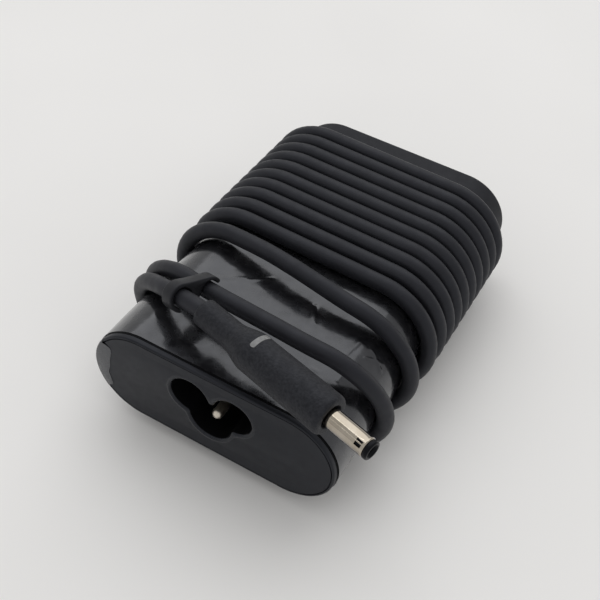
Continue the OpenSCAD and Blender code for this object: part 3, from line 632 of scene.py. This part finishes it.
def plug_ring(s, r):
    return plug_arc(s, r, range(PLUG_SIDES))


def turned(profile):
    """A solid turned on the plug's axis from a closed profile of (along, radius)."""
    shape = Shape()
    shape.skin_all([shape.ring(plug_ring(s, r)) for s, r in profile], loop=True)
    return shape


# Grip: end at the cord, neck, flare, slowly widening body, and front as (distance from its end, inset)
NECK_R = 2.8
NECK_START = 2
NECK_ROWS = 6
FLARE_START = 7.9
FLARE_L = 5.8
FLARE_STEPS = 14
GRIP_R = 4.0
GRIP_START = 15.5
GRIP_STEP = 2
GRIP_ROWS = 9
GRIP_WIDENS = 0.012
GRIP_END = 33.0
FRONT_R = 4.1
GRIP_BACK = [(0.0, 1.85), (0.0, 2.3), (0.06, 2.5), (0.2, 2.66), (0.42, 2.77), (0.75, NECK_R)]
GRIP_FRONT = [
    (1.0, 0.0), (0.65, 0.04), (0.35, 0.16), (0.13, 0.36), (0.02, 0.62), (0.0, 0.9), (0.0, 1.48), (0.04, 1.6),
    (0.2, 1.68), (0.9, 1.72), (1.0, 1.8), (1.0, 2.25),
]
grip_profile = GRIP_BACK + [(NECK_START + i, NECK_R) for i in range(NECK_ROWS)]
for i in range(FLARE_STEPS + 1):
    t = i / FLARE_STEPS
    grip_profile.append((FLARE_START + FLARE_L * t, lerp(NECK_R, GRIP_R, smoothstep(t))))
grip_profile += [(GRIP_START + GRIP_STEP * i, GRIP_R + GRIP_WIDENS * i) for i in range(GRIP_ROWS)]
grip_profile += [(GRIP_END - back, FRONT_R - inset) for back, inset in GRIP_FRONT]
grip = turned(grip_profile).build("plug_grip_shell", [plug_mat], "plug_black", replaces=["plug_grip"])

# Window: a bar across the grip with rounded ends
WINDOW_FROM = 13.85
WINDOW_TO = 15.05
WINDOW_MID = (WINDOW_FROM + WINDOW_TO) / 2
WINDOW_HALF = (WINDOW_TO - WINDOW_FROM) / 2
WINDOW_TURN = (44, 114)
WINDOW_STEPS = 24
WINDOW_ROUND = 8
WINDOW_END = 0.45
WINDOW_ROOT = -0.6
WINDOW_SIDE = -0.02
WINDOW_TOP = 0.05
WINDOW_BEVEL = 0.07
window_shape = Shape()
window_rings = []
for i in range(WINDOW_STEPS + 1):
    t = i / WINDOW_STEPS
    a = math.radians(lerp(WINDOW_TURN[0], WINDOW_TURN[1], t))
    past = max(0, abs(2 * t - 1) * WINDOW_ROUND - (WINDOW_ROUND - 1))
    half = WINDOW_HALF * max(math.sqrt(max(0.0, 1 - past ** 2)), WINDOW_END)
    top_half = half - WINDOW_BEVEL
    section = [
        (-half, WINDOW_ROOT), (-half, WINDOW_SIDE), (-top_half, WINDOW_TOP), (top_half, WINDOW_TOP),
        (half, WINDOW_SIDE), (half, WINDOW_ROOT),
    ]
    corners = [plug_point(WINDOW_MID + ds, GRIP_R + dr, a) for ds, dr in section]
    window_rings.append(window_shape.ring(corners))
window_shape.skin_all(window_rings)
window_shape.face(window_rings[0])
window_shape.face(reversed(window_rings[-1]))
window = window_shape.build(
    "plug_window_lens", [window_mat], "window_clear", replaces=["plug_window"], sharp=30)

# Barrel: a turned profile whose cell SLOT_CELL has two shallow slots, as first and last side; the slots'
# walls and floors take the tip ring's near-black as painted shade
BARREL_R = 1.95
BARREL_IN = 1.3
BARREL_START = 32.0
BARREL_END = 41.6
BARREL_PROFILE = [
    (BARREL_START, BARREL_IN), (BARREL_START, BARREL_R), (39.6, BARREL_R), (40.95, BARREL_R), (41.1, 1.99),
    (41.26, 2.02), (41.42, 1.99), (41.54, 1.9), (BARREL_END, 1.75), (BARREL_END, BARREL_IN),
]
SLOT_CELL = 2
SLOT_DEPTH = 0.3
SLOT_SHADE_PAINT = 1
SLOTS = [(46, 51), (54, 62)]
barrel_shape = Shape()
barrel_rings = [barrel_shape.ring(plug_ring(s, r)) for s, r in BARREL_PROFILE]
slot_sides = {i for first, last in SLOTS for i in range(first, last)}
for k, a in enumerate(barrel_rings):
    b = barrel_rings[(k + 1) % len(barrel_rings)]
    for i in range(PLUG_SIDES):
        if k == SLOT_CELL and i in slot_sides:
            continue
        j = (i + 1) % PLUG_SIDES
        barrel_shape.face((a[i], a[j], b[j], b[i]))
# Slot walls and floors: painted shade in the tip ring's black
barrel_shape.paint = SLOT_SHADE_PAINT
for first, last in SLOTS:
    span = range(first, last + 1)
    outer = [[barrel_rings[k][i] for i in span] for k in (SLOT_CELL, SLOT_CELL + 1)]
    inner = []
    for s, r in BARREL_PROFILE[SLOT_CELL:SLOT_CELL + 2]:
        inner.append(barrel_shape.ring(plug_arc(s, r - SLOT_DEPTH, span)))
    for i in range(last - first):
        barrel_shape.face((inner[0][i], inner[0][i + 1], inner[1][i + 1], inner[1][i]))
        for rim, floor_line in zip(outer, inner):
            barrel_shape.face((rim[i], rim[i + 1], floor_line[i + 1], floor_line[i]))
    for i in (0, last - first):
        barrel_shape.face((outer[0][i], outer[1][i], inner[1][i], inner[0][i]))
barrel = barrel_shape.build("plug_barrel_plated", [nickel_mat, tip_mat], "nickel", replaces=["plug_barrel"])

TIP_PROFILE = [
    (BARREL_END, 1.0), (BARREL_END, 1.72), (41.65, 1.86), (41.74, 1.93), (42.28, 1.93), (42.44, 1.88),
    (42.56, 1.78), (42.6, 1.66), (42.6, 1.44), (42.54, 1.38), (42.1, 1.12), (41.9, 1.04), (36.0, 0.95),
    (36.0, 1.0),
]
tip = turned(TIP_PROFILE).build("plug_tip_ring", [tip_mat], "epoxy_black", replaces=["plug_insulator"])


# Clip: a ring on the cord, a strap, and a hook over the last turn

CLIP_PLACE = 11
CLIP_AT = Vector(TAIL_ROUTE[CLIP_PLACE])
CLIP_DIR = (Vector(TAIL_ROUTE[CLIP_PLACE + 1]) - Vector(TAIL_ROUTE[CLIP_PLACE - 1])).normalized()
CLIP_SIDE = Vector((-CLIP_DIR.y, CLIP_DIR.x, 0)).normalized()
CLIP_UP = CLIP_DIR.cross(CLIP_SIDE)
CLIP_TILT = math.radians(-13)
CLIP_W = 3.0
CLIP_SPAN = 6.45
CLIP_BORE = 2.1
RING_OUTER = 3.0
HOOK_OUTER = 2.9
CLIP_EDGE = 0.25
EDGE_STEPS = 4
# Narrowing of the strap: share of the width, place and reach
WAIST = 0.05
WAIST_X = 4.2
WAIST_REACH = 1.9
# Runs of the clip's outline between its arcs, as (x, y) from the ring's middle
STRAP_TOP = [
    (1.0, 2.93), (1.6, 2.89), (2.3, 2.87), (3.0, 2.86), (3.7, 2.86), (4.4, 2.87), (5.0, 2.88), (5.6, 2.88),
]
HOOK_END = [(8.72, 1.62), (8.66, 1.36), (8.48, 1.22), (8.3, 1.2)]
STRAP_FOOT = [(4.24, 0.0), (4.1, -0.45), (3.8, -0.8), (3.4, -1.06), (2.9, -1.24), (2.3, -1.3)]
RING_END = [(-0.62, -2.3), (-0.44, -2.56), (-0.36, -2.8)]


def clip_point(x, y, z):
    c, s = math.cos(CLIP_TILT), math.sin(CLIP_TILT)
    side, up = x * c - y * s, x * s + y * c
    return CLIP_AT + CLIP_DIR * z + CLIP_SIDE * side + CLIP_UP * up


def arc(cx, r, start, end, steps):
    """Arc round (cx, 0) between two angles in degrees."""
    angles = [math.radians(lerp(start, end, i / steps)) for i in range(steps + 1)]
    return [(cx + r * math.cos(a), r * math.sin(a)) for a in angles]


def clip_half_width(x):
    """Half of the clip's width at x, narrowed at the strap."""
    return CLIP_W / 2 * (1 - WAIST * math.exp(-((x - WAIST_X) / WAIST_REACH) ** 2))


def inward(points, i):
    """Direction square to the outline at its point i; inwards if it runs clockwise."""
    a, b = Vector(points[i - 1]), Vector(points[(i + 1) % len(points)])
    d = (b - a).normalized()
    return Vector((d.y, -d.x))


clip_line = arc(0, RING_OUTER, start=262, end=80, steps=36) + STRAP_TOP
clip_line += arc(CLIP_SPAN, HOOK_OUTER, start=98, end=40, steps=14) + HOOK_END
clip_line += arc(CLIP_SPAN, CLIP_BORE, start=34, end=168, steps=20) + STRAP_FOOT
clip_line += arc(0, CLIP_BORE, start=-32, end=252, steps=44) + RING_END

edge_angles = [math.pi / 2 * k / EDGE_STEPS for k in range(EDGE_STEPS + 1)]
layers = [(CLIP_EDGE * (1 - math.sin(a)), CLIP_EDGE * (1 - math.cos(a))) for a in edge_angles]
stack = [(1, inset, drop) for inset, drop in layers]
stack += [(-1, inset, drop) for inset, drop in reversed(layers)]
clip_shape = Shape()
clip_rings = []
for side, inset, drop in stack:
    ring = []
    for i, (x, y) in enumerate(clip_line):
        move = inward(clip_line, i) * inset
        ring.append(clip_point(x + move.x, y + move.y, side * (clip_half_width(x) - drop)))
    clip_rings.append(clip_shape.ring(ring))
clip_shape.skin_all(clip_rings)
clip_shape.fill(clip_rings[0])
clip_shape.fill(clip_rings[-1])
clip = clip_shape.build("cord_clip_moulding", [clip_mat], "black_satin", body="clip", replaces=["cord_clip"])


# Inlet pins, with a dome that ends in a small flat

PIN_SIDES = 40
PIN_R = 1.2
DOME_STEPS = 8
DOME_FLAT = 0.6
EARTH_Z = -2.25
EARTH_TIP_Y = -41.6
PIN_LAG = 3.0
LINE_TIP_Y = EARTH_TIP_Y + PIN_LAG
PIN_ROOT_Y = -29.0
PINS = {
    "inlet_pin_earth": (0.0, EARTH_Z, EARTH_TIP_Y),
    "inlet_pin_line": (-EAR_X, EAR_Z, LINE_TIP_Y),
    "inlet_pin_neutral": (EAR_X, EAR_Z, LINE_TIP_Y),
}
pin_turns = [2 * math.pi * i / PIN_SIDES for i in range(PIN_SIDES)]
for node, (px, pz, tip_y) in PINS.items():
    pin_profile = []
    for k in range(DOME_STEPS + 1):
        a = math.pi / 2 * (k + DOME_FLAT) / (DOME_STEPS + DOME_FLAT)
        pin_profile.append((PIN_R * math.sin(a), tip_y + PIN_R * (1 - math.cos(a))))
    pin_profile.append((PIN_R, PIN_ROOT_Y))
    pin = Shape()
    pin_rings = []
    for r, y in pin_profile:
        pin_rings.append(pin.ring([(px + r * math.cos(a), y, pz + r * math.sin(a)) for a in pin_turns]))
    pin.skin_all(pin_rings)
    pin.fill(pin_rings[0])
    pin.fill(pin_rings[-1])
    pin.build(node + "_turned", [pin_mat], "brass", replaces=[node])


# Finish of the CAD nodes that stay: colour, least and most roughness, metal

SLOT_LOOKS = {
    "gloss_black": ((0.006, 0.006, 0.0065), 0.1, 0.2, 0.0),
    "grey_matte": ((0.036, 0.038, 0.041), 0.42, 0.5, 0.0),
    "brass": ((0.76, 0.62, 0.36), 0.22, 0.34, 1.0),
    "window_clear": ((0.42, 0.42, 0.40), 0.3, 0.4, 0.0),
    "board_green": ((0.03, 0.16, 0.06), 0.35, 0.5, 0.0),
    "sheet_cream": ((0.72, 0.66, 0.5), 0.45, 0.6, 0.0),
    "aluminium": ((0.78, 0.79, 0.8), 0.28, 0.42, 1.0),
    "ferrite": ((0.03, 0.03, 0.032), 0.5, 0.65, 0.0),
    "copper": ((0.72, 0.33, 0.16), 0.25, 0.4, 1.0),
    "tape_yellow": ((0.78, 0.55, 0.06), 0.35, 0.45, 0.0),
    "can_blue": ((0.03, 0.06, 0.2), 0.3, 0.4, 0.0),
    "epoxy_black": ((0.014, 0.014, 0.015), 0.45, 0.6, 0.0),
    "epoxy_green": ((0.03, 0.12, 0.05), 0.35, 0.5, 0.0),
    "epoxy_blue": ((0.04, 0.12, 0.35), 0.35, 0.5, 0.0),
    "box_yellow": ((0.75, 0.56, 0.08), 0.35, 0.5, 0.0),
    "package_white": ((0.7, 0.7, 0.67), 0.4, 0.55, 0.0),
    "wire_red": ((0.4, 0.02, 0.02), 0.4, 0.5, 0.0),
}
NODE_GRAIN_PER_MM = 3.0
NODE_GRAIN_DEPTH = 0.008
slot_mats = {"black_satin": rear_mat, "cord_black": cord_mat, "plug_black": plug_mat, "nickel": nickel_mat}
for slot, (color, low, high, metal) in SLOT_LOOKS.items():
    slot_mats[slot] = varied(
        "slot_" + slot, color, (low, high), NODE_GRAIN_PER_MM, NODE_GRAIN_DEPTH, metallic=metal, **NODE_LOOK)
for part in frame["record"]["subparts"]:
    data = nodes[part["node"]].data
    data.materials.clear()
    data.materials.append(slot_mats[part["material_slot"]])
# The inlet's floor takes the painted shade too
nodes["inlet_base"].data.materials[0] = painted_shade_mat


# Floor, light and camera

FLOOR_HALF = 1.6
FLOOR_CORNERS = [(-FLOOR_HALF, -FLOOR_HALF), (FLOOR_HALF, -FLOOR_HALF), (FLOOR_HALF, FLOOR_HALF),
                 (-FLOOR_HALF, FLOOR_HALF)]
floor_mesh = bpy.data.meshes.new("floor")
floor_mesh.from_pydata([(x, y, FLOOR_Z * MM) for x, y in FLOOR_CORNERS], [], [(0, 1, 2, 3)])
floor_mat = material("pale_floor", (0.88, 0.873, 0.864), roughness=0.75, specular=0.2)
tint(floor_mat, low=(0.868, 0.861, 0.852), high=(0.892, 0.885, 0.876), per_mm=0.012, detail=2.0)
floor_mesh.materials.append(floor_mat)
floor = bpy.data.objects.new("floor", floor_mesh)
scene.collection.objects.link(floor)

WORLD_COLOR = (1.0, 0.995, 0.985, 1)
WORLD_STRENGTH = 0.61
world = bpy.data.worlds.new("studio")
world.use_nodes = True
world.node_tree.nodes["Background"].inputs["Color"].default_value = WORLD_COLOR
world.node_tree.nodes["Background"].inputs["Strength"].default_value = WORLD_STRENGTH
scene.world = world


def area_light(name, place, size, power):
    """A rectangular light, sizes in metres, that points at the part."""
    data = bpy.data.lights.new(name, "AREA")
    data.shape = "RECTANGLE"
    data.size, data.size_y = size
    data.energy = power
    lamp = bpy.data.objects.new(name, data)
    scene.collection.objects.link(lamp)
    lamp.location = place
    lamp.rotation_euler = (-Vector(place)).to_track_quat("-Z", "Y").to_euler()


area_light("key", place=(-0.5, 0.9, 1.6), size=(2.6, 2.0), power=16.4)
area_light("strip", place=(-0.35, -0.2, 1.1), size=(0.9, 0.025), power=0.25)
area_light("front_strip", place=(-0.45, -0.75, 0.75), size=(0.8, 0.015), power=0.1)

# Camera fitted to the casing's edges in the photo, then rolled about its own axis
CAMERA_AT = Vector((60.84, -140.46, 151.40))
FORWARD = Vector((-0.29238, 0.63461, -0.71540))
RIGHT = Vector((0.90824, 0.41845, 0))
UP = Vector((-0.29936, 0.64975, 0.69872))
ROLL = math.radians(6.857)
LENS = 58.0
SENSOR = 36.0
CLIP_START = 0.01
right = RIGHT * math.cos(ROLL) + UP * math.sin(ROLL)
up = UP * math.cos(ROLL) - RIGHT * math.sin(ROLL)
camera_data = bpy.data.cameras.new("camera")
camera_data.lens = LENS
camera_data.sensor_width = SENSOR
camera_data.sensor_fit = "HORIZONTAL"
camera_data.clip_start = CLIP_START
camera = bpy.data.objects.new("camera", camera_data)
turn = Matrix((right, up, -FORWARD)).transposed().to_4x4()
camera.matrix_world = Matrix.Translation(CAMERA_AT * MM) @ turn
scene.collection.objects.link(camera)
scene.camera = camera

bpy.context.view_layer.update()
